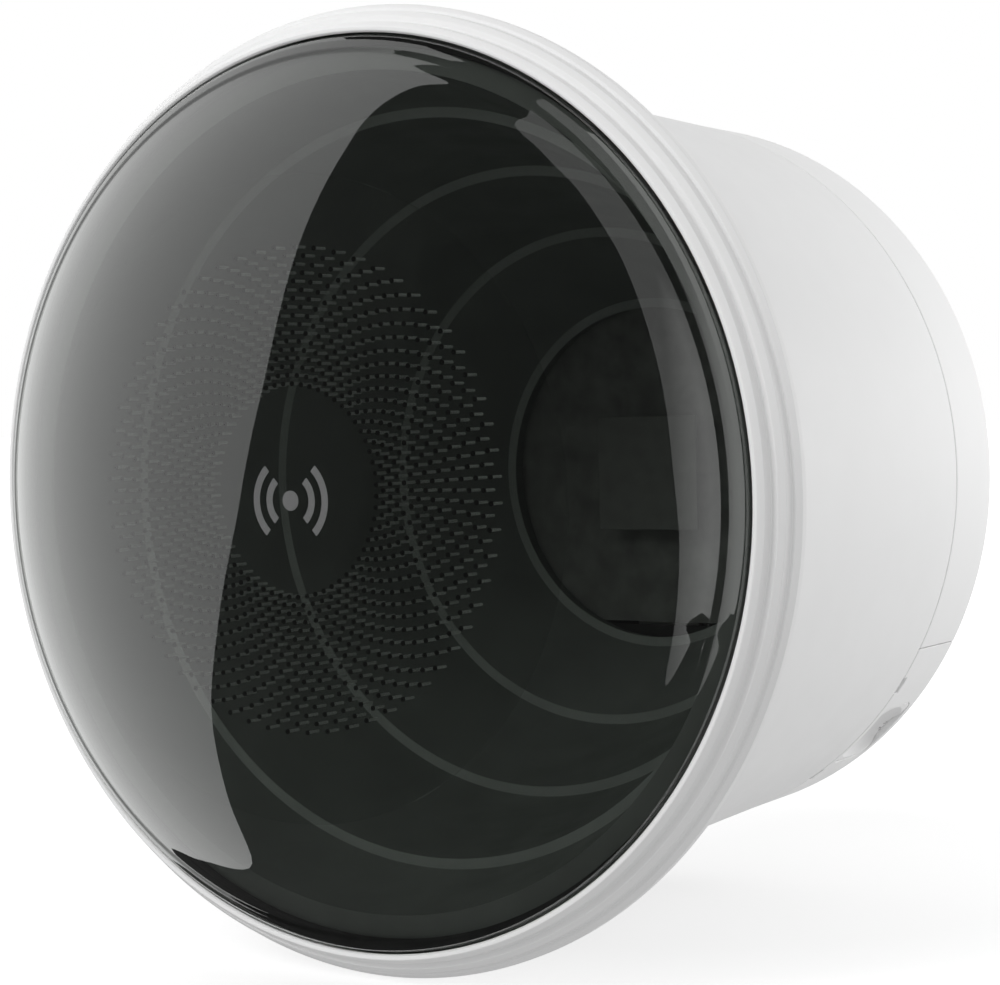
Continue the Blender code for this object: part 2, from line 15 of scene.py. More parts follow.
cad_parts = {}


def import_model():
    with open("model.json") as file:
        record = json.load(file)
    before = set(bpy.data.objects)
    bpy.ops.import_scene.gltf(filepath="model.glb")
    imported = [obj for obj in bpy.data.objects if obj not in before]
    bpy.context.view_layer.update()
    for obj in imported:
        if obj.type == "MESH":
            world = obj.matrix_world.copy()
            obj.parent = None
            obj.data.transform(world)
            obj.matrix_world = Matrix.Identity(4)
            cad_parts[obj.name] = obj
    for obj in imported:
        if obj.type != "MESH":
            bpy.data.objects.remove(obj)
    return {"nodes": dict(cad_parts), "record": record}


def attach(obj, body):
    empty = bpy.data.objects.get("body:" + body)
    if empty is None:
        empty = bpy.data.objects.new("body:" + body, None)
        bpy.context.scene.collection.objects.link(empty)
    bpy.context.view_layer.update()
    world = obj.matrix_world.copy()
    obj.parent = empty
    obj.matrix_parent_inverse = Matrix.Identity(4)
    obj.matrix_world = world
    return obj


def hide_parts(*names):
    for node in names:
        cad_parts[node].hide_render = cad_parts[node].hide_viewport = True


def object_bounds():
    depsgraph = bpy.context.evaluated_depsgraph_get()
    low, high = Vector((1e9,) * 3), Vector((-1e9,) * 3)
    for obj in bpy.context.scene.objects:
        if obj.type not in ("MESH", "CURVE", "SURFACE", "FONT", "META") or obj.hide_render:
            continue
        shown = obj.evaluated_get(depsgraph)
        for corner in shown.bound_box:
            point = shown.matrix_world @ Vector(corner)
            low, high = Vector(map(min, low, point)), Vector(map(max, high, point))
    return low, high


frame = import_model()
CAD_BOX = [list(corner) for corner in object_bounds()]
NODES = frame["nodes"]
BODY_OF = {}
for body_name, members in frame["record"]["behaviour"]["bodies"].items():
    for member in members:
        BODY_OF[member] = body_name

MM = 0.001
REAR_STATION = 136.5 * MM
GAP = 0.3 * MM
FINE_GAP = 0.12 * MM          # seams that are held tight

# Dome, lens plate and bezel
RIM_RADIUS = 88.4 * MM
DOME_SAG = 36.3 * MM
DOME_RADIUS = 126.0 * MM
DOME_WALL = 2.2 * MM
DOME_CENTRE = DOME_RADIUS - DOME_SAG      # station of the sphere's centre
CAP_EDGE = 84.9 * MM                      # where the dome's sphere ends in the rim step
LENS_STATION = -17.0 * MM
LENS_RADIUS = 61.2 * MM
LENS_THICKNESS = 1.2 * MM
HOLE_RINGS = 17
HOLES_PER_RING = 60
FIRST_RING = 20.1 * MM
RING_PITCH = 1.6 * MM
HOLE_LIFT = 1.9 * MM         # height of the hole field above the axis
HOLE_RADIUS = 0.48 * MM
COLLAR = 0.2 * MM            # length of the collar in each hole, near black as painted shade in the hole's mouth
TUBE_RADIUS = 0.28 * MM
TUBE_BORE = 0.18 * MM
TUBE_LENGTH = 3.4 * MM
RING_RADIUS = 95.0 * MM

# Horn steps: radius of the bore just behind each ledge, and the ledge's station
HORN_MOUTH = (82.3 * MM, 5.0 * MM)
HORN_STEPS = ((75.0 * MM, 26.2 * MM), (65.3 * MM, 61.9 * MM), (53.4 * MM, 92.0 * MM),
              (38.2 * MM, 114.9 * MM))
HORN_LEDGE = 1.7 * MM
LEDGE_NOSE = 0.4 * MM         # how far a ledge stands into the bore
HORN_WALL = 2.0 * MM
HORN_END = 118.5 * MM
HORN_FLANGE_RADIUS = 48.8 * MM

# Drum and rear shell
DRUM_RADIUS = 79.5 * MM
DRUM_WALL = 2.5 * MM
SEAM_STATION = 106.0 * MM
EDGE_STATION = 124.0 * MM
REAR_FLAT_RADIUS = 65.2 * MM
FLAT_HOLD_RADIUS = 64.2 * MM  # a ring of points that keeps the shading of the rear face flat
REAR_WALL = 2.5 * MM
SPLIT_HEIGHT = -37.4 * MM
CAP_SCREWS = tuple((x * MM, z * MM) for x, z in ((48, 34), (-48, 34), (-52, -27), (52, -27)))
SQUARE = ((1, 1), (-1, 1), (-1, -1), (1, -1))
BOARD_SCREWS = tuple((x * 32.2 * MM, z * 32.2 * MM) for x, z in SQUARE)
MOUNT_INSERTS = tuple((x * 25.0 * MM, z * 25.0 * MM) for x, z in SQUARE)
LIGHT_PIPES = tuple(x * MM for x in (-9, -3, 3, 9))
LIGHT_PIPE_HEIGHT = 42.0 * MM
VENT_PLACE = (-42.0 * MM, 0.0)
LATCH_ANGLES = {"latch_pad_right": -46.5, "latch_pad_left": -133.5}
LATCH_STATION = 115.0 * MM
LATCH_LENGTH = 13.6 * MM
LATCH_WIDTH = 17.6 * MM
LATCH_FACE = 78.6 * MM
NOTCH_ANGLES = (-35.0, -56.0, -124.0, -145.0)
GROMMET_STATION = 115.0 * MM

SIDES = 240                  # sides of the large turned parts
FINE_SIDES = 48              # sides of holes and small turned parts
SHARP_ANGLE = math.radians(34)
SOFT_EDGE = 0.18 * MM        # rounding of the rear pieces' edges
SIDE_SHARE = 0.45            # largest share of a side that a rounded corner takes
MERGE = 0.01 * MM            # points closer than this are one
FAR = 150.0 * MM             # half size of the blocks that split the rear shell
SPLIT_FRONT = 90.0 * MM      # stations between which those blocks cut
SPLIT_BACK = 150.0 * MM
THROUGH = 138.0 * MM         # station behind the rear face, where holes in it end

SCENE = bpy.context.scene
CUTTERS = bpy.data.collections.new("cutters")


# --------------------------------------------------------------------------------------------- materials

class Finish:
    """A procedural material with one Principled shader, in object coordinates."""

    def __init__(self, name, colour, roughness, metallic=0.0):
        self.material = bpy.data.materials.new(name)
        self.material.use_nodes = True
        self.tree = self.material.node_tree
        self.shader = self.tree.nodes["Principled BSDF"]
        self.colour = colour
        self.shader.inputs["Base Color"].default_value = (*colour, 1.0)
        self.shader.inputs["Roughness"].default_value = roughness
        self.shader.inputs["Metallic"].default_value = metallic
        self.roughness = roughness
        self.place = self.node("ShaderNodeTexCoord").outputs["Object"]

    def node(self, kind, **settings):
        made = self.tree.nodes.new(kind)
        for key, value in settings.items():
            setattr(made, key, value)
        return made

    def link(self, start, end):
        self.tree.links.new(start, end)

    def noise(self, size, detail=2.0, stretch=(1.0, 1.0, 1.0)):
        """Noise whose grains are about size metres across."""
        mapping = self.node("ShaderNodeMapping")
        mapping.inputs["Scale"].default_value = [s / size for s in stretch]
        self.link(self.place, mapping.inputs["Vector"])
        texture = self.node("ShaderNodeTexNoise")
        texture.inputs["Scale"].default_value = 1.0
        texture.inputs["Detail"].default_value = detail
        self.link(mapping.outputs["Vector"], texture.inputs["Vector"])
        return texture.outputs["Fac"]

    def ranged(self, value, low, high):
        """Noise output, which stays near its middle, spread over low to high."""
        spread = self.node("ShaderNodeMapRange")
        spread.inputs["From Min"].default_value = 0.3
        spread.inputs["From Max"].default_value = 0.7
        spread.inputs["To Min"].default_value = low
        spread.inputs["To Max"].default_value = high
        self.link(value, spread.inputs["Value"])
        return spread.outputs["Result"]

    def tint(self, size, share, stretch=(1.0, 1.0, 1.0)):
        """Slight variation of the base colour."""
        ramp = self.node("ShaderNodeValToRGB")
        for element, factor in zip(ramp.color_ramp.elements, (1.0 - share, 1.0 + share)):
            element.color = (*[min(1.0, c * factor) for c in self.colour], 1.0)
        ramp.color_ramp.elements[0].position = 0.3
        ramp.color_ramp.elements[1].position = 0.7
        self.link(self.noise(size, 3.0, stretch), ramp.inputs["Fac"])
        self.link(ramp.outputs["Color"], self.shader.inputs["Base Color"])
        return self

    def gloss(self, size, spread, stretch=(1.0, 1.0, 1.0)):
        """Uneven roughness."""
        noise = self.noise(size, 2.0, stretch)
        value = self.ranged(noise, self.roughness - spread, self.roughness + spread)
        self.link(value, self.shader.inputs["Roughness"])
        return self

    def grain(self, size, depth, stretch=(1.0, 1.0, 1.0), detail=2.0):
        """Surface grain as bump, with a depth in metres."""
        bump = self.node("ShaderNodeBump")
        bump.inputs["Distance"].default_value = depth
        self.link(self.noise(size, detail, stretch), bump.inputs["Height"])
        self.link(bump.outputs["Normal"], self.shader.inputs["Normal"])
        return self


def smoked_film(name, ior, through, reflected):
    """Smoked plastic as a film: its front faces mirror and tint, and its back faces let all through.

    A wall mirrors on both faces, so its share is 2F / (1 + F), where F is the Fresnel share of one face.
    """
    material = bpy.data.materials.new(name)
    material.use_nodes = True
    tree = material.node_tree
    tree.nodes.clear()
    fresnel = tree.nodes.new("ShaderNodeFresnel")
    fresnel.inputs["IOR"].default_value = ior
    twice = tree.nodes.new("ShaderNodeMath")
    twice.operation = "MULTIPLY"
    twice.inputs[1].default_value = 2.0
    one_more = tree.nodes.new("ShaderNodeMath")
    one_more.operation = "ADD"
    one_more.inputs[1].default_value = 1.0
    both = tree.nodes.new("ShaderNodeMath")
    both.operation = "DIVIDE"
    clear = tree.nodes.new("ShaderNodeBsdfTransparent")
    clear.inputs["Color"].default_value = (*through, 1.0)
    mirror = tree.nodes.new("ShaderNodeBsdfGlossy")
    mirror.inputs["Color"].default_value = (*reflected, 1.0)
    mirror.inputs["Roughness"].default_value = 0.0
    front = tree.nodes.new("ShaderNodeMixShader")
    open_back = tree.nodes.new("ShaderNodeBsdfTransparent")
    sides = tree.nodes.new("ShaderNodeMixShader")
    geometry = tree.nodes.new("ShaderNodeNewGeometry")
    output = tree.nodes.new("ShaderNodeOutputMaterial")
    links = tree.links
    links.new(fresnel.outputs["Fac"], one_more.inputs[0])
    links.new(fresnel.outputs["Fac"], twice.inputs[0])
    links.new(twice.outputs["Value"], both.inputs[0])
    links.new(one_more.outputs["Value"], both.inputs[1])
    links.new(both.outputs["Value"], front.inputs["Fac"])
    links.new(clear.outputs["BSDF"], front.inputs[1])
    links.new(mirror.outputs["BSDF"], front.inputs[2])
    links.new(geometry.outputs["Backfacing"], sides.inputs["Fac"])
    links.new(front.outputs["Shader"], sides.inputs[1])
    links.new(open_back.outputs["BSDF"], sides.inputs[2])
    links.new(sides.outputs["Shader"], output.inputs["Surface"])
    return material


WHITE = Finish("moulded_white", (0.80, 0.80, 0.80), 0.42).tint(40 * MM, 0.012).gloss(6 * MM, 0.05)
WHITE.grain(0.5 * MM, 0.006 * MM)
WHITE_BAND = Finish("satin_white", (0.82, 0.82, 0.82), 0.35).tint(40 * MM, 0.012).gloss(5 * MM, 0.04)
WHITE_BAND.grain(0.35 * MM, 0.003 * MM)
HORN = Finish("horn_plastic", (0.145, 0.16, 0.15), 0.5).tint(14 * MM, 0.10).gloss(8 * MM, 0.06)
HORN.grain(0.4 * MM, 0.002 * MM)
# Horn ledge faces: the horn's dark plastic painted lighter, as painted light on the faces that look forward
# into the light
LEDGE_PAINTED_LIGHT = Finish("horn_ledge_painted_light", (0.27, 0.295, 0.28), 0.4).tint(20 * MM, 0.08).gloss(8 * MM, 0.05)
LEDGE_PAINTED_LIGHT.grain(0.4 * MM, 0.0015 * MM)
# Light tone of the thin lens tubes: a painted highlight along each hole
TUBE_HIGHLIGHT = Finish("lens_tube_painted_highlight", (0.47, 0.50, 0.48), 0.4).tint(3 * MM, 0.15).gloss(2 * MM, 0.06)
# Near black of the tube collars, front faces and bores: painted shade in the hole mouths
HOLE_SHADE = Finish("lens_hole_painted_shade", (0.004, 0.004, 0.004), 0.8).tint(2 * MM, 0.2)
MARK = Finish("printed_mark", (0.62, 0.60, 0.64), 0.5).tint(3 * MM, 0.04).grain(0.3 * MM, 0.004 * MM)
RUBBER = Finish("seal_rubber", (0.018, 0.018, 0.018), 0.75).tint(5 * MM, 0.25).gloss(3 * MM, 0.08)
RUBBER.grain(0.6 * MM, 0.02 * MM)
# Solder mask lifted from black to dark grey: painted light that fills in the shade in the horn's throat
BOARD_LIFTED = Finish("solder_mask_with_painted_light", (0.15, 0.16, 0.15), 0.5).tint(6 * MM, 0.25).gloss(2 * MM, 0.08)
BOARD_LIFTED.grain(1.2 * MM, 0.02 * MM)
BLACK = Finish("moulded_black", (0.028, 0.028, 0.028), 0.5).tint(8 * MM, 0.15).gloss(3 * MM, 0.06)
BLACK.grain(0.5 * MM, 0.012 * MM)
PAD = Finish("thermal_gel", (0.16, 0.18, 0.24), 0.8).tint(3 * MM, 0.15).grain(0.8 * MM, 0.03 * MM)
STEEL = Finish("zinc_plate", (0.62, 0.62, 0.60), 0.3, 1.0).tint(2 * MM, 0.08).gloss(1.5 * MM, 0.08)
STEEL.grain(0.25 * MM, 0.003 * MM)
SHEET = Finish("tinned_sheet", (0.66, 0.66, 0.64), 0.32, 1.0).tint(6 * MM, 0.08)
SHEET.gloss(2 * MM, 0.08, (0.2, 1.0, 2.0)).grain(0.3 * MM, 0.002 * MM, (0.1, 1.0, 1.0))
ALUMINIUM = Finish("extruded_aluminium", (0.70, 0.71, 0.72), 0.38, 1.0).tint(4 * MM, 0.06)
ALUMINIUM.gloss(1 * MM, 0.1, (1.0, 1.0, 0.08)).grain(0.3 * MM, 0.004 * MM, (1.0, 1.0, 0.05))
BRASS = Finish("turned_brass", (0.72, 0.52, 0.24), 0.28, 1.0).tint(2 * MM, 0.08).gloss(1 * MM, 0.08)
BRASS.grain(0.2 * MM, 0.003 * MM, (1.0, 0.3, 1.0))
# Feed patch lifted to the same dark grey: painted light that fills in the shade in the horn's throat
PATCH_LIFTED = Finish("coated_patch_with_painted_light", (0.15, 0.16, 0.15), 0.5).tint(4 * MM, 0.1).gloss(2 * MM, 0.08)
PATCH_LIFTED.grain(0.3 * MM, 0.002 * MM, (0.1, 1.0, 1.0))
ACRYLIC = Finish("frosted_acrylic", (0.78, 0.82, 0.83), 0.2).tint(2 * MM, 0.04).gloss(1 * MM, 0.05)
SMOKE = smoked_film("smoked_dome", 1.53, (0.50, 0.51, 0.495), (0.99, 1.0, 0.99))
LENS = smoked_film("lens_clear", 1.12, (0.94, 0.95, 0.94), (1.0, 1.0, 1.0))

CAD_FINISHES = {
    "rear_seal": RUBBER, "radome_gasket": RUBBER, "feed_patch": PATCH_LIFTED, "main_board": BOARD_LIFTED,
    "feed_probe_horizontal": BRASS, "feed_probe_vertical": BRASS, "shield_can": SHEET, "thermal_pad": PAD,
    "heat_sink": ALUMINIUM, "ethernet_transformer": BLACK, "power_inductor": BLACK, "reset_switch": BLACK,
    "rj45_jack": SHEET, "port_bay_liner": BLACK, "reset_button": BLACK, "ground_screw": BRASS,
    "vent_plug": BLACK, "horn": HORN, "body_shell": WHITE, "rear_cap": WHITE_BAND, "port_cover": WHITE_BAND,
    "bezel_ring": WHITE, "latch_pad_right": WHITE_BAND, "latch_pad_left": WHITE_BAND,
    "cable_grommet": RUBBER}
for number in range(1, 5):
    CAD_FINISHES[f"cap_screw_{number}"] = STEEL
    CAD_FINISHES[f"board_screw_{number}"] = STEEL
    CAD_FINISHES[f"mount_insert_{number}"] = BRASS
    CAD_FINISHES[f"light_pipe_{number}"] = ACRYLIC
for node_name, node in NODES.items():
    finish = CAD_FINISHES.get(node_name)
    for material_slot in node.material_slots:
        material_slot.material = finish.material if finish else SMOKE


# ------------------------------------------------------------------------------------------------- meshes

def place(x, station, z):
    """Position of a point given by its station behind the rim plane."""
    return Vector((x, station - REAR_STATION, z))


def new_object(name, mesh, materials):
    """Link a new object: a piece when it has materials, otherwise a hidden cutter."""
    piece = bpy.data.objects.new(name, mesh)
    if materials:
        SCENE.collection.objects.link(piece)
        for finish in materials:
            mesh.materials.append(finish)
    else:
        CUTTERS.objects.link(piece)
    return piece


def rounded(points, radius, steps=4):
    """Round each corner of a closed profile with that radius, or with a smaller one on a short side."""
    out = []
    count = len(points)
    on_axis = 0.01 * MM
    straight = math.radians(4)
    for i, point in enumerate(points):
        here = Vector(point)
        to_last = Vector(points[i - 1]) - here
        to_next = Vector(points[(i + 1) % count]) - here
        turn = math.pi - to_last.angle(to_next)
        if here.x < on_axis or turn < straight:
            out.append(tuple(here))
            continue
        reach = min(radius * math.tan(turn / 2), SIDE_SHARE * to_last.length, SIDE_SHARE * to_next.length)
        start = here + to_last.normalized() * reach
        end = here + to_next.normalized() * reach
        for step in range(steps + 1):
            t = step / steps
            out.append(tuple(start * (1 - t) ** 2 + here * 2 * t * (1 - t) + end * t ** 2))
    return out


def arc(radius, centre_station, start, end, count):
    """Points on a circle about the axis, from one half-angle to another, as (radius, station)."""
    points = []
    for i in range(count + 1):
        angle = start + (end - start) * i / count
        points.append((radius * math.sin(angle), centre_station - radius * math.cos(angle)))
    return points


def spun_mesh(name, profile, sides, to_point, slots=None):
    """Closed mesh of revolution. to_point turns (radius, height, angle) into a position.

    Points on the axis close a profile at both ends. A flat end gets one face in place of a fan.
    """
    mesh = bpy.data.meshes.new(name)
    work = bmesh.new()
    tiny = 0.0001 * MM
    rows = []
    for radius, height in profile:
        turns = range(1 if radius < tiny else sides)
        rows.append([work.verts.new(to_point(radius, height, math.tau * k / sides)) for k in turns])
    count = len(rows)
    closed = len(rows[0]) > 1
    for i in range(count if closed else count - 1):
        first = rows[i]
        second = rows[(i + 1) % count]
        for k in range(sides):
            after = (k + 1) % sides
            corners = [first[k % len(first)], first[after % len(first)],
                       second[after % len(second)], second[k % len(second)]]
            face = work.faces.new(list(dict.fromkeys(corners)))
            face.smooth = True
            if slots:
                face.material_index = slots(i)
    flat_middles = []
    if not closed:
        for end, inner in ((0, 1), (-1, -2)):
            if abs(profile[end][1] - profile[inner][1]) < tiny:
                flat_middles.append(rows[end][0])
    bmesh.ops.dissolve_verts(work, verts=flat_middles)
    bmesh.ops.recalc_face_normals(work, faces=work.faces)
    work.to_mesh(mesh)
    work.free()
    mesh.set_sharp_from_angle(angle=SHARP_ANGLE)
    return mesh


def turned(name, profile, materials=(), x=0.0, z=0.0, sides=SIDES, slots=None):
    """Solid turned about the Y direction from (radius, station) points."""
    def to_point(radius, station, angle):
        return (x + radius * math.cos(angle), station - REAR_STATION, z + radius * math.sin(angle))
    return new_object(name, spun_mesh(name, profile, sides, to_point, slots), materials)


def upright(name, profile, materials=(), x=0.0, station=0.0, sides=FINE_SIDES):
    """Solid turned about the Z direction from (radius, z) points."""
    def to_point(radius, height, angle):
        return (x + radius * math.cos(angle), station - REAR_STATION + radius * math.sin(angle), height)
    return new_object(name, spun_mesh(name, profile, sides, to_point), materials)


def rod(name, radius, front, back, x, z, sides=FINE_SIDES):
    return turned(name, [(0.0, front), (radius, front), (radius, back), (0.0, back)], (), x, z, sides)


def block(name, low, high):
    """Box between two corners given as (x, station, z)."""
    start = place(*low)
    end = place(*high)
    mesh = bpy.data.meshes.new(name)
    work = bmesh.new()
    bmesh.ops.create_cube(work, size=1.0)
    bmesh.ops.scale(work, vec=end - start, verts=work.verts)
    bmesh.ops.translate(work, vec=(start + end) / 2, verts=work.verts)
    work.to_mesh(mesh)
    work.free()
    return new_object(name, mesh, ())


def radial_matrix(angle_degrees, radius, station):
    """Frame at a place on the drum whose local Z points outward and whose local Y is world Y."""
    angle = math.radians(angle_degrees)
    spot = place(radius * math.cos(angle), station, radius * math.sin(angle))
    return Matrix.Translation(spot) @ Matrix.Rotation(math.radians(90) - angle, 4, "Y")


def radial_block(name, size, centre_radius, angle, station, materials=(), bevel=0.0):
    """Box of (tangential, axial, radial) size at a radius and angle, with its radial edges rounded."""
    mesh = bpy.data.meshes.new(name)
    work = bmesh.new()
    bmesh.ops.create_cube(work, size=1.0)
    bmesh.ops.scale(work, vec=size, verts=work.verts)
    if bevel:
        standing = [e for e in work.edges if abs(e.verts[0].co.z - e.verts[1].co.z) > size[2] / 2]
        bmesh.ops.bevel(work, geom=standing, offset=bevel, segments=6, affect="EDGES", profile=0.5)
    bmesh.ops.transform(work, matrix=radial_matrix(angle, centre_radius, station), verts=work.verts)
    work.to_mesh(mesh)
    work.free()
    return new_object(name, mesh, materials)


def combine(target, tools, operation="DIFFERENCE"):
    for tool in tools:
        change = target.modifiers.new(tool.name, "BOOLEAN")
        change.operation = operation
        change.solver = "EXACT"
        change.object = tool


def settle(piece, edge=0.0):
    """Bake the modifiers of a piece, round its sharp edges and even out its shading."""
    evaluated = piece.evaluated_get(bpy.context.evaluated_depsgraph_get())
    mesh = bpy.data.meshes.new_from_object(evaluated)
    piece.modifiers.clear()
    work = bmesh.new()
    work.from_mesh(mesh)
    bmesh.ops.remove_doubles(work, verts=work.verts, dist=MERGE)
    bmesh.ops.dissolve_degenerate(work, edges=work.edges, dist=MERGE)
    work.to_mesh(mesh)
    work.free()
    mesh.shade_smooth()
    mesh.set_sharp_from_angle(angle=SHARP_ANGLE)
    piece.data = mesh
    if edge:
        soften = piece.modifiers.new("edges", "BEVEL")
        soften.width = edge
        soften.segments = 2
        soften.limit_method = "ANGLE"
        soften.angle_limit = math.radians(40)
        soften.use_clamp_overlap = False
    even = piece.modifiers.new("shading", "WEIGHTED_NORMAL")
    even.keep_sharp = True
    return piece


def stands_for(piece, node_name):
    """The piece rides its CAD node's body and hides that node."""
    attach(piece, BODY_OF[node_name])
    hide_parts(node_name)


# ------------------------------------------------------------------------------------- front of the unit

def radome():
    """Smoked dome: the sphere, two shallow steps round it, and a rim that goes under the bezel."""
    rim_radius = RIM_RADIUS + 0.9 * MM
    inner_rim = 87.1 * MM
    inner_radius = DOME_RADIUS - DOME_WALL
    outer = arc(DOME_RADIUS, DOME_CENTRE, 0.0, math.asin(CAP_EDGE / DOME_RADIUS), 48)
    skirt = [(85.75 * MM, -3.17 * MM), (87.4 * MM, -1.75 * MM), (88.1 * MM, -0.95 * MM),
             (88.4 * MM, -0.2 * MM), (88.6 * MM, 1.3 * MM), (rim_radius, 1.5 * MM),
             (rim_radius, 3.0 * MM), (inner_rim, 3.0 * MM)]
    inner_angle = math.asin(inner_rim / inner_radius) * 0.995
    inner = arc(inner_radius, DOME_CENTRE, inner_angle, 0.0, 40)
    piece = turned("radome_shell", rounded(outer + skirt + inner, 1.5 * MM, 6), [SMOKE])
    stands_for(piece, "radome")


def lens_plate():
    """Clear disc with rings of holes, and a short tube behind each hole. The thin tubes' light tone is a
    painted highlight, and their near-black collars, front faces and bores are painted shade in the hole
    mouths.
    """
    centres = []
    for ring in range(HOLE_RINGS):
        radius = FIRST_RING + ring * RING_PITCH
        turn = 0.0 if ring % 2 else 0.5
        for k in range(HOLES_PER_RING):
            angle = math.tau * (k + turn) / HOLES_PER_RING
            centres.append((radius * math.cos(angle), radius * math.sin(angle) + HOLE_LIFT))
    circle = 8
    outline = [(LENS_RADIUS * math.cos(math.tau * k / SIDES), LENS_RADIUS * math.sin(math.tau * k / SIDES))
               for k in range(SIDES)]
    loops = [list(range(SIDES))]
    points = [Vector(p) for p in outline]
    for x, z in centres:
        first = len(points)
        for k in range(circle):
            angle = math.tau * k / circle
            points.append(Vector((x + HOLE_RADIUS * math.cos(angle), z + HOLE_RADIUS * math.sin(angle))))
        loops.append(list(range(first, first + circle)))
    flat = delaunay_2d_cdt(points, [], loops, 1, 1e-9)
    front = LENS_STATION - LENS_THICKNESS / 2
    mesh = bpy.data.meshes.new("lens_disc")
    work = bmesh.new()
    corners = [work.verts.new(place(p.x, front, p.y)) for p in flat[0]]
    for face, origins in zip(flat[2], flat[5]):
        if origins == [0]:
            work.faces.new([corners[i] for i in face])
    for loose in [v for v in work.verts if not v.link_faces]:
        work.verts.remove(loose)
    grown = bmesh.ops.extrude_face_region(work, geom=list(work.faces))
    moved = [item for item in grown["geom"] if isinstance(item, bmesh.types.BMVert)]
    bmesh.ops.translate(work, vec=(0.0, LENS_THICKNESS, 0.0), verts=moved)
    bmesh.ops.recalc_face_normals(work, faces=work.faces)
    work.to_mesh(mesh)
    work.free()
    disc = new_object("lens_disc", mesh, [LENS])
    stands_for(disc, "lens_plate")

    mesh = bpy.data.meshes.new("lens_tubes")
    work = bmesh.new()
    back = front + TUBE_LENGTH
    section = ((HOLE_RADIUS, front), (HOLE_RADIUS, front + COLLAR), (TUBE_RADIUS, front + COLLAR),
               (TUBE_RADIUS, back), (TUBE_BORE, back), (TUBE_BORE, front))
    for x, z in centres:
        rows = []
        for radius, station in section:
            rows.append([work.verts.new(place(x + radius * math.cos(math.tau * k / circle), station,
                                              z + radius * math.sin(math.tau * k / circle)))
                         for k in range(circle)])
        for i, row in enumerate(rows):
            other = rows[(i + 1) % len(rows)]
            for k in range(circle):
                after = (k + 1) % circle
                face = work.faces.new([row[k], row[after], other[after], other[k]])
                face.smooth = i in (0, 2, 4)
                # a tube's outer wall and back take the painted highlight, its collar, front face and bore
                # the painted shade
                face.material_index = 0 if i in (2, 3) else 1
    bmesh.ops.recalc_face_normals(work, faces=work.faces)
    work.to_mesh(mesh)
    work.free()
    mesh.set_sharp_from_angle(angle=math.radians(60))
    tubes = new_object("lens_tubes", mesh, [TUBE_HIGHLIGHT.material, HOLE_SHADE.material])
    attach(tubes, BODY_OF["lens_plate"])


def wave_mark():
    """Plain printed mark on the lens plate: a dot between two pairs of arcs."""
    front = LENS_STATION - LENS_THICKNESS / 2
    layer = (front - 0.05 * MM, front - 0.01 * MM)
    half_sweep = 48
    mesh = bpy.data.meshes.new("wave_mark")
    work = bmesh.new()

    def sector(inner, outer, start, end, steps):
        ring = []
        for i in range(steps + 1):
            angle = math.radians(start + (end - start) * i / steps)
            direction = Vector((math.cos(angle), 0.0, math.sin(angle)))
            ring.append([work.verts.new(place(0, station, 0) + direction * radius)
                         for radius in (inner, outer) for station in layer])
        for first, second in zip(ring, ring[1:]):
            for a, b in ((0, 2), (2, 3), (3, 1), (1, 0)):
                work.faces.new([first[a], first[b], second[b], second[a]])
        for end_ring in (ring[0], ring[-1]):
            work.faces.new([end_ring[0], end_ring[1], end_ring[3], end_ring[2]])

    for radius in (4.3 * MM, 7.4 * MM):
        for side in (0.0, 180.0):
            sector(radius, radius + 1.5 * MM, side - half_sweep, side + half_sweep, 32)
    bmesh.ops.recalc_face_normals(work, faces=work.faces)
    work.to_mesh(mesh)
    work.free()
    waves = new_object("wave_mark_arcs", mesh, [MARK.material])
    dot_radius = 1.9 * MM
    profile = [(0.0, layer[0]), (dot_radius, layer[0]), (dot_radius, layer[1]), (0.0, layer[1])]
    dot = turned("wave_mark_dot", profile, [MARK.material], sides=FINE_SIDES)
    for piece in (waves, dot):
        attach(piece, BODY_OF["lens_plate"])


def bezel_ring():
    """Ring with three rounded ridges outside, a pocket for the dome and a snap lip behind the flange."""
    lip = [(88.8 * MM, 0.2 * MM), (89.3 * MM, -0.3 * MM), (90.0 * MM, -0.3 * MM), (91.0 * MM, 0.9 * MM)]
    ridges = [(91.1 * MM, 3.0 * MM), (92.4 * MM, 3.1 * MM), (93.4 * MM, 4.3 * MM), (93.5 * MM, 6.2 * MM),
              (94.2 * MM, 6.3 * MM), (RING_RADIUS, 7.4 * MM), (RING_RADIUS, 9.0 * MM),
              (93.8 * MM, 10.2 * MM)]
    back = [(90.8 * MM, 10.2 * MM), (90.8 * MM, 9.1 * MM), (93.0 * MM, 9.1 * MM), (92.8 * MM, 6.2 * MM),
            (90.8 * MM, 4.4 * MM), (89.8 * MM, 4.4 * MM), (89.8 * MM, 1.0 * MM)]
    piece = turned("bezel_band", rounded(lip + ridges + back, 0.45 * MM, 6), [WHITE.material])
    stands_for(settle(piece), "bezel_ring")


def gasket():
    profile = [(89.4 * MM, 3.3 * MM), (89.4 * MM, 4.7 * MM), (86.6 * MM, 4.7 * MM), (86.6 * MM, 3.3 * MM)]
    piece = turned("radome_seal", rounded(profile, 0.5 * MM), [RUBBER.material])
    stands_for(settle(piece), "radome_gasket")


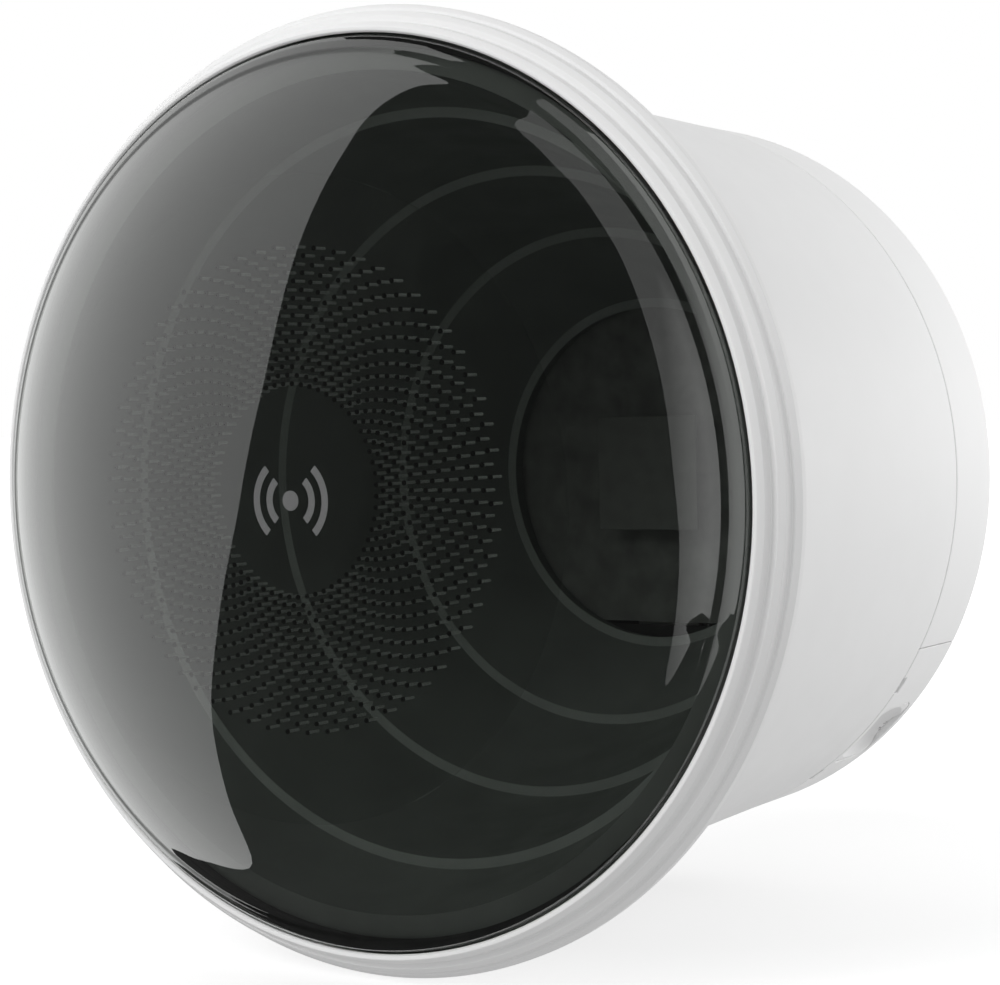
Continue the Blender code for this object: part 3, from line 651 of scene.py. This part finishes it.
def horn():
    """Conical horn narrowing to the rear in four steps. Each ledge face is coloured lighter, as painted
    light where it faces forward.
    """
    mouth_radius, mouth = HORN_MOUTH
    flange_back = mouth + 1.6 * MM
    outside = [(90.4 * MM, mouth), (90.4 * MM, flange_back), (mouth_radius + 1.7 * MM, flange_back)]
    inside = []
    for radius, station in HORN_STEPS[:-1]:
        outside.append((radius + HORN_WALL + 0.8 * MM, station))
        inside.append((radius + HORN_LEDGE, station))
        inside.append((radius - LEDGE_NOSE, station + 0.1 * MM))
    throat_radius, throat = HORN_STEPS[-1]
    outside += [(throat_radius + 3.6 * MM, throat + 1.8 * MM), (HORN_FLANGE_RADIUS, throat + 1.8 * MM),
                (HORN_FLANGE_RADIUS, HORN_END)]
    inside += [(throat_radius + HORN_LEDGE, throat), (throat_radius - LEDGE_NOSE, throat + 0.1 * MM),
               (throat_radius, HORN_END)]
    profile = outside + inside[::-1] + [(mouth_radius, mouth)]
    first_ledge = len(outside) + 1
    # profile rows of the ledge faces, which take the lighter painted-light finish
    lit_ledge_rows = set(range(first_ledge, first_ledge + 2 * len(HORN_STEPS), 2))
    piece = turned("horn_shell", profile, [HORN.material, LEDGE_PAINTED_LIGHT.material], slots=lambda i: int(i in lit_ledge_rows))
    tools = [rod(f"horn_boss_{k}", 3.0 * MM, 111.5 * MM, HORN_END - 0.6 * MM, x, z)
             for k, (x, z) in enumerate(BOARD_SCREWS, 1)]
    pilots = [rod(f"horn_pilot_{k}", 1.4 * MM, 112.0 * MM, HORN_END + GAP, x, z)
              for k, (x, z) in enumerate(BOARD_SCREWS, 1)]
    combine(piece, tools, "UNION")
    combine(piece, pilots)
    stands_for(settle(piece), "horn")


# -------------------------------------------------------------------------------------------- drum and rear

def body_shell():
    """Drum with a front flange that carries the horn and a bulkhead near its rear."""
    inner = DRUM_RADIUS - DRUM_WALL
    profile = [
        (92.4 * MM, 6.9 * MM), (92.4 * MM, 8.8 * MM), (87.8 * MM, 8.8 * MM), (83.3 * MM, 22.0 * MM),
        (DRUM_RADIUS, SEAM_STATION), (inner, SEAM_STATION), (inner, 102.6 * MM), (54.0 * MM, 102.6 * MM),
        (54.0 * MM, 100.4 * MM), (inner, 100.4 * MM), (80.9 * MM, 22.0 * MM), (85.3 * MM, 9.2 * MM),
        (85.3 * MM, 6.9 * MM)]
    piece = turned("drum_shell", rounded(profile, 0.5 * MM), [WHITE.material])
    combine(piece, [rod(f"body_post_{k}", 4.2 * MM, 101.5 * MM, 117.7 * MM, x, z)
                    for k, (x, z) in enumerate(CAP_SCREWS, 1)], "UNION")
    combine(piece, [rod(f"body_pilot_{k}", 1.8 * MM, 103.5 * MM, 118.0 * MM, x, z)
                    for k, (x, z) in enumerate(CAP_SCREWS, 1)])
    stands_for(settle(piece), "body_shell")


def rear_shell(name):
    """Full turned rear cap: spigot, straight band, chamfer and flat back, to be cut into cap and cover."""
    outside = [
        (76.6 * MM, SEAM_STATION + FINE_GAP), (DRUM_RADIUS, SEAM_STATION + FINE_GAP),
        (79.0 * MM, EDGE_STATION), (78.3 * MM, 125.4 * MM), (67.4 * MM, 135.4 * MM),
        (REAR_FLAT_RADIUS, REAR_STATION), (FLAT_HOLD_RADIUS, REAR_STATION)]
    inside = [
        (64.2 * MM, REAR_STATION - REAR_WALL), (76.4 * MM, 122.8 * MM), (76.4 * MM, 107.2 * MM),
        (74.4 * MM, 105.8 * MM), (74.4 * MM, 104.2 * MM), (76.6 * MM, 104.2 * MM)]
    middle = [(0.0, REAR_STATION - REAR_WALL)]
    profile = middle + inside + outside + [(0.0, REAR_STATION)]
    return turned(name, rounded(profile, 0.45 * MM), [WHITE_BAND.material])


def rear_cap():
    """Upper part of the rear shell, with screw sleeves, insert bosses and the vent and light holes."""
    piece = rear_shell("rear_cap_shell")
    low = (-FAR, SPLIT_FRONT, -FAR)
    combine(piece, [block("cap_split", low, (FAR, SPLIT_BACK, SPLIT_HEIGHT + FINE_GAP / 2))])
    for k, (x, z) in enumerate(CAP_SCREWS, 1):
        combine(piece, [rod(f"cap_sleeve_{k}", 4.6 * MM, 118.0 * MM, 134.6 * MM, x, z)], "UNION")
        combine(piece, [rod(f"cap_clearance_{k}", 2.0 * MM, 117.0 * MM, 122.0 * MM, x, z),
                        rod(f"cap_counterbore_{k}", 3.4 * MM, 121.5 * MM, THROUGH, x, z)])
    for k, (x, z) in enumerate(MOUNT_INSERTS, 1):
        combine(piece, [rod(f"insert_boss_{k}", 5.0 * MM, 127.5 * MM, 134.6 * MM, x, z)], "UNION")
        combine(piece, [rod(f"insert_hole_{k}", 3.5 * MM, 126.0 * MM, THROUGH, x, z)])
    combine(piece, [rod(f"pipe_hole_{k}", 1.8 * MM, 132.0 * MM, THROUGH, x, LIGHT_PIPE_HEIGHT)
                    for k, x in enumerate(LIGHT_PIPES, 1)])
    combine(piece, [rod("vent_hole", 3.3 * MM, 132.0 * MM, THROUGH, *VENT_PLACE),
                    rod("vent_recess", 6.6 * MM, 135.0 * MM, THROUGH, *VENT_PLACE)])
    stands_for(settle(piece, SOFT_EDGE), "rear_cap")


def port_cover():
    """Lower part of the rear shell, which slides off to the rear, with windows for the latch pads."""
    piece = rear_shell("port_cover_shell")
    low = (-FAR, SPLIT_FRONT, SPLIT_HEIGHT - FINE_GAP / 2)
    combine(piece, [block("cover_split", low, (FAR, SPLIT_BACK, FAR))])
    for name, angle in LATCH_ANGLES.items():
        size = (LATCH_WIDTH + GAP, LATCH_LENGTH + GAP, 12.0 * MM)
        depth = LATCH_FACE - 1.0 * MM
        combine(piece, [radial_block(f"{name}_window", size, depth, angle, LATCH_STATION, (), 2.3 * MM)])
    for k, angle in enumerate(NOTCH_ANGLES, 1):
        size = (4.2 * MM, 3.0 * MM, 3.0 * MM)
        combine(piece, [radial_block(f"notch_{k}", size, DRUM_RADIUS, angle, SEAM_STATION + GAP)])
    hole = [(0.0, -70.0 * MM), (6.0 * MM, -70.0 * MM), (6.0 * MM, -85.0 * MM), (0.0, -85.0 * MM)]
    combine(piece, [upright("grommet_hole", hole, station=GROMMET_STATION)])
    stands_for(settle(piece, SOFT_EDGE), "port_cover")


def latch_pads():
    """Two finger pads in the cover's windows, each with a scoop for the fingertip."""
    body_height = 3.4 * MM
    flange_height = 1.4 * MM
    scoop_radius = 16.0 * MM
    scoop_depth = 2.3 * MM
    for name, angle in LATCH_ANGLES.items():
        size = (LATCH_WIDTH, LATCH_LENGTH, body_height)
        pad = radial_block(f"{name}_grip", size, LATCH_FACE - body_height / 2, angle, LATCH_STATION,
                           [WHITE_BAND.material], 2.0 * MM)
        flange_radius = LATCH_FACE - body_height - flange_height / 2 + 0.05 * MM
        size = (LATCH_WIDTH + 3.0 * MM, LATCH_LENGTH + 2.2 * MM, flange_height)
        combine(pad, [radial_block(f"{name}_flange", size, flange_radius, angle, LATCH_STATION)], "UNION")
        mesh = bpy.data.meshes.new(f"{name}_scoop")
        work = bmesh.new()
        bmesh.ops.create_uvsphere(work, u_segments=96, v_segments=64, radius=scoop_radius)
        bmesh.ops.transform(work, matrix=radial_matrix(angle, LATCH_FACE + scoop_radius - scoop_depth,
                                                       LATCH_STATION), verts=work.verts)
        work.to_mesh(mesh)
        work.free()
        combine(pad, [new_object(f"{name}_scoop", mesh, ())])
        stands_for(settle(pad, SOFT_EDGE), name)


def cable_grommet():
    """Rubber grommet in the cover's underside, open for a cable."""
    profile = [
        (7.6 * MM, -73.9 * MM), (7.6 * MM, -75.6 * MM), (5.7 * MM, -75.6 * MM), (5.7 * MM, -79.7 * MM),
        (7.2 * MM, -79.7 * MM), (6.4 * MM, -80.8 * MM), (3.4 * MM, -80.8 * MM), (3.4 * MM, -73.9 * MM)]
    piece = upright("grommet", rounded(profile, 0.5 * MM), [RUBBER.material], station=GROMMET_STATION)
    stands_for(settle(piece), "cable_grommet")


# ------------------------------------------------------------------------------- camera, floor and light

CAMERA_SPOT = Vector((0.3147, -0.5468, 0.0197))
CAMERA_LOOK = Vector((-0.5619, 0.8263, -0.0382))
CAMERA_UP = Vector((0.0, 0.0462, 0.9989))
CAMERA_LENS = 96.12          # focal length for a 36 mm sensor
SOFT_LEVELS = (0.73, 0.90)   # light on matt surfaces from below and from above
MIRROR_LEVELS = (0.045, 1.0)  # what mirrors see elsewhere and straight behind the part
MIRROR_EDGE = (0.55, 0.75)   # cosines of the angles from straight behind between which that changes
FLOOR_SIZE = 6.0
FLOOR_GLOW_AND_PAINTED_SHADOW = (0.58, 0.9)     # near the part, lowered as a painted shadow, and away from it
FLOOR_FADE = (0.13, 0.28)    # distances between which the glow rises out of the painted shadow
LEFT_GLOW = 0.92
RIGHT_GLOW = 1.35
RIGHT_WEAK = 0.55            # glow at the right softbox's inner edge
RIGHT_FADE = (0.03, 0.15)    # where that softbox turns from weak to full, at a metre
LAMP_AIM = (0.0, -0.05, 0.0)


def camera():
    """Camera in front of the part, on its +X side and a little above its axis."""
    data = bpy.data.cameras.new("photo_camera")
    data.lens = CAMERA_LENS
    data.sensor_width = 36.0
    data.clip_start = 0.01
    piece = bpy.data.objects.new("photo_camera", data)
    SCENE.collection.objects.link(piece)
    back = -CAMERA_LOOK.normalized()
    right = CAMERA_UP.cross(back).normalized()
    up = back.cross(right)
    piece.matrix_world = Matrix.Translation(CAMERA_SPOT) @ Matrix((right, up, back)).transposed().to_4x4()
    SCENE.camera = piece


def set_range(node, low, high, low_value, high_value):
    """Settings of a Map Range node."""
    for key, value in zip(("From Min", "From Max", "To Min", "To Max"), (low, high, low_value, high_value)):
        node.inputs[key].default_value = value


def world():
    """White to the camera, soft and brighter from above to matt surfaces, and dark to mirrors."""
    studio = bpy.data.worlds.new("studio")
    SCENE.world = studio
    studio.use_nodes = True
    tree = studio.node_tree
    tree.nodes.clear()
    paths = tree.nodes.new("ShaderNodeLightPath")
    spot = tree.nodes.new("ShaderNodeTexCoord")

    def gradient(direction, low, high, low_value, high_value):
        """Light whose strength goes from one value to another along a direction."""
        dot = tree.nodes.new("ShaderNodeVectorMath")
        dot.operation = "DOT_PRODUCT"
        dot.inputs[1].default_value = Vector(direction).normalized()
        tree.links.new(spot.outputs["Generated"], dot.inputs[0])
        spread = tree.nodes.new("ShaderNodeMapRange")
        spread.interpolation_type = "SMOOTHSTEP"
        set_range(spread, low, high, low_value, high_value)
        tree.links.new(dot.outputs["Value"], spread.inputs["Value"])
        background = tree.nodes.new("ShaderNodeBackground")
        tree.links.new(spread.outputs["Result"], background.inputs["Strength"])
        return background.outputs["Background"]

    soft = gradient((0.1, 0.1, 0.98), -1.0, 1.0, *SOFT_LEVELS)
    mirrored = gradient((0.0, 1.0, 0.0), *MIRROR_EDGE, *MIRROR_LEVELS)
    white = tree.nodes.new("ShaderNodeBackground")
    white.inputs["Strength"].default_value = 1.0
    white.inputs["Color"].default_value = (1.0, 1.0, 1.0, 1.0)
    by_gloss = tree.nodes.new("ShaderNodeMixShader")
    by_sight = tree.nodes.new("ShaderNodeMixShader")
    output = tree.nodes.new("ShaderNodeOutputWorld")
    tree.links.new(paths.outputs["Is Glossy Ray"], by_gloss.inputs["Fac"])
    tree.links.new(soft, by_gloss.inputs[1])
    tree.links.new(mirrored, by_gloss.inputs[2])
    tree.links.new(paths.outputs["Is Camera Ray"], by_sight.inputs["Fac"])
    tree.links.new(by_gloss.outputs["Shader"], by_sight.inputs[1])
    tree.links.new(white.outputs["Background"], by_sight.inputs[2])
    tree.links.new(by_sight.outputs["Shader"], output.inputs["Surface"])


def floor():
    """Pale floor at the part's lowest point, whose own glow keeps it white away from the part. Near the part
    the glow is lower, a painted shadow on top of the shadow the part really casts.
    """
    bottom = CAD_BOX[0][2]
    mesh = bpy.data.meshes.new("floor")
    corners = [(x * FLOOR_SIZE, y * FLOOR_SIZE, bottom) for x, y in ((-1, -1), (1, -1), (1, 1), (-1, 1))]
    mesh.from_pydata(corners, [], [(0, 1, 2, 3)])
    pale = Finish("pale_floor", (0.45, 0.45, 0.45), 0.9)
    pale.shader.inputs["Specular IOR Level"].default_value = 0.0
    pale.shader.inputs["Emission Color"].default_value = (1.0, 1.0, 1.0, 1.0)
    distance = pale.node("ShaderNodeVectorMath", operation="LENGTH")
    pale.link(pale.place, distance.inputs[0])
    # glow rises with distance from the part: weaker near it as a painted shadow
    outward = pale.node("ShaderNodeMapRange")
    set_range(outward, *FLOOR_FADE, *FLOOR_GLOW_AND_PAINTED_SHADOW)
    pale.link(distance.outputs["Value"], outward.inputs["Value"])
    pale.link(outward.outputs["Result"], pale.shader.inputs["Emission Strength"])
    piece = new_object("floor", mesh, [pale.material])
    piece.visible_glossy = False
    piece.visible_diffuse = False
    piece.visible_shadow = False


def softbox(name, outline, strength, fade=None):
    """Flat lamp of a free outline, seen by mirrors only.

    A fade is (low, high, weak, direction, start): along the direction, from start + low to start + high, the
    strength rises from weak to full.
    """
    mesh = bpy.data.meshes.new(name)
    mesh.from_pydata(outline, [], [tuple(range(len(outline)))])
    material = bpy.data.materials.new(name)
    material.use_nodes = True
    tree = material.node_tree
    tree.nodes.clear()
    glow = tree.nodes.new("ShaderNodeEmission")
    glow.inputs["Strength"].default_value = strength
    output = tree.nodes.new("ShaderNodeOutputMaterial")
    tree.links.new(glow.outputs["Emission"], output.inputs["Surface"])
    if fade:
        low, high, weak, direction, start = fade
        spot = tree.nodes.new("ShaderNodeTexCoord")
        along = tree.nodes.new("ShaderNodeVectorMath")
        along.operation = "DOT_PRODUCT"
        along.inputs[1].default_value = direction
        spread = tree.nodes.new("ShaderNodeMapRange")
        set_range(spread, start + low, start + high, weak, strength)
        tree.links.new(spot.outputs["Object"], along.inputs[0])
        tree.links.new(along.outputs["Value"], spread.inputs["Value"])
        tree.links.new(spread.outputs["Result"], glow.inputs["Strength"])
    piece = new_object(name, mesh, [material])
    piece.visible_camera = False
    piece.visible_diffuse = False
    piece.visible_shadow = False


def smooth_outline(points, steps=6):
    """Catmull-Rom curve through a closed row of points."""
    out = []
    count = len(points)
    for i in range(count):
        before, start, end, after = [Vector(points[(i + k - 1) % count]) for k in range(4)]
        for step in range(steps):
            t = step / steps
            out.append(tuple(0.5 * (2 * start + (end - before) * t
                                    + (2 * before - 5 * start + 4 * end - after) * t ** 2
                                    + (3 * start - before - 3 * end + after) * t ** 3)))
    return out


def key_light(name, spot, size, power):
    """Soft round lamp for the matt surfaces only, aimed at the part."""
    data = bpy.data.lights.new(name, "AREA")
    data.shape = "DISK"
    data.size = size
    data.energy = power
    piece = bpy.data.objects.new(name, data)
    SCENE.collection.objects.link(piece)
    piece.location = spot
    piece.rotation_euler = (Vector(LAMP_AIM) - Vector(spot)).to_track_quat("-Z", "Y").to_euler()
    piece.visible_glossy = False
    piece.visible_camera = False


def lamps():
    """Two softboxes, whose curved outlines are given at a metre and scaled out, and two soft keys."""
    reach = 1.2
    middle = -0.15
    left = [(-0.95, 4.1), (-0.72, 3.07), (-0.69, 2.5), (-0.76, 2.15), (-0.95, 1.88), (-1.3, 1.27),
            (-1.48, 0.84), (-1.51, 0.45), (-1.33, -0.09), (-0.96, -0.47), (-0.57, -0.70), (-0.28, -0.86),
            (0.03, -0.96), (0.31, -0.70), (0.60, -0.50), (1.5, -0.2), (1.5, 1.0), (0.6, 1.3), (0.0, 1.88),
            (-0.24, 2.37), (-0.52, 3.0)]
    outline = [(-reach, middle + reach * y, reach * z) for y, z in smooth_outline(left)]
    softbox("left_softbox", outline, LEFT_GLOW)
    right = [(-1.0, 3.88), (-0.54, 2.32), (-0.32, 1.69), (-0.17, 1.20), (-0.08, 0.86), (0.0, 0.40),
             (0.03, 0.0), (0.044, -0.2), (0.04, -0.45), (0.022, -0.765), (0.097, -0.575), (0.138, -0.436),
             (0.8, -0.2), (0.8, 3.0), (-0.3, 3.6)]
    slant = math.sqrt(0.5)
    rim = (0.07, -0.14)
    outline = [(rim[0] + reach * slant * (1.0 + u), rim[1] + reach * slant * (u - 1.0), reach * z)
               for u, z in smooth_outline(right)]
    low, high = (reach * place for place in RIGHT_FADE)
    fade = (low, high, RIGHT_WEAK, (slant, slant, 0.0), slant * (rim[0] + rim[1]))
    softbox("right_softbox", outline, RIGHT_GLOW, fade)
    key_light("front_key", (-0.6, -1.5, 1.0), 1.0, 15.0)
    key_light("rear_key", (0.25, 0.18, 0.05), 0.2, 0.45)


radome()
lens_plate()
wave_mark()
bezel_ring()
gasket()
horn()
body_shell()
rear_cap()
port_cover()
latch_pads()
cable_grommet()
camera()
world()
floor()
lamps()
SCENE.view_settings.view_transform = "Standard"
